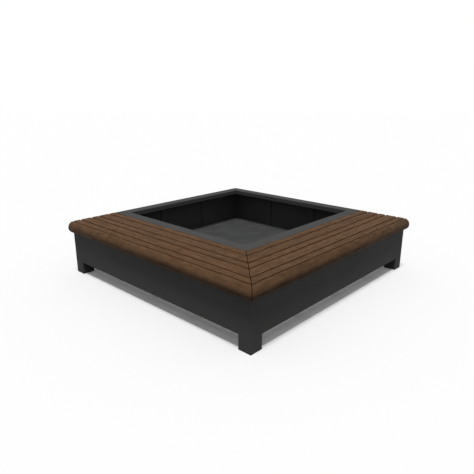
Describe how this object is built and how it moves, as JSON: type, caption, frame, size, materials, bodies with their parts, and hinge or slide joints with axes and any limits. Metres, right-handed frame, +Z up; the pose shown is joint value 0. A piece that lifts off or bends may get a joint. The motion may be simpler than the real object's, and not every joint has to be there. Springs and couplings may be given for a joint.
{
  "type": "planter bench",
  "caption": "Square steel planter on short feet, with an open planting basin and a mitred timber bench seat wrapped around one corner.",
  "frame": {"origin": "on the ground, at the centre of the bench's footprint", "axes": "+Z up; the seat runs along the -Y side (front) and the +X side (right), mitred at their corner"},
  "size_m": [2.045, 2.045, 0.45],
  "materials": {
    "coated_steel": "dark grey powder coating, fine matt texture",
    "timber": "planed hardwood with a brown oil finish",
    "zinc": "zinc plated"
  },
  "bodies": {
    "root": {"floor_plate": "coated_steel", "front_panel": "coated_steel", "right_panel": "coated_steel", "rear_panel": "coated_steel", "left_panel": "coated_steel", "front_inner_wall": "coated_steel", "right_inner_wall": "coated_steel", "foot_front_left": "coated_steel", "foot_front_right": "coated_steel", "foot_rear_right": "coated_steel", "foot_rear_left": "coated_steel", "foot_plate_front_left": "coated_steel", "foot_plate_front_right": "coated_steel", "foot_plate_rear_right": "coated_steel", "foot_plate_rear_left": "coated_steel", "corner_plate_front_left": "coated_steel", "corner_plate_front_right": "coated_steel", "corner_plate_rear_right": "coated_steel", "floor_joist_1": "coated_steel", "floor_joist_2": "coated_steel", "floor_joist_3": "coated_steel", "floor_joist_4": "coated_steel", "rear_rib_1": "coated_steel", "rear_rib_2": "coated_steel", "left_rib_1": "coated_steel", "left_rib_2": "coated_steel", "front_bracket_1": "coated_steel", "front_bracket_2": "coated_steel", "front_bracket_3": "coated_steel", "front_bracket_4": "coated_steel", "right_bracket_1": "coated_steel", "right_bracket_2": "coated_steel", "right_bracket_3": "coated_steel", "right_bracket_4": "coated_steel", "corner_bracket": "coated_steel", "drain_spouts": "zinc", "front_edge_board": "timber", "right_edge_board": "timber", "front_board_1": "timber", "front_board_2": "timber", "front_board_3": "timber", "front_board_4": "timber", "front_board_5": "timber", "right_board_1": "timber", "right_board_2": "timber", "right_board_3": "timber", "right_board_4": "timber", "right_board_5": "timber", "front_board_screws": "zinc", "front_edge_screws": "zinc", "right_board_screws": "zinc", "right_edge_screws": "zinc"}
  },
  "joints": []
}
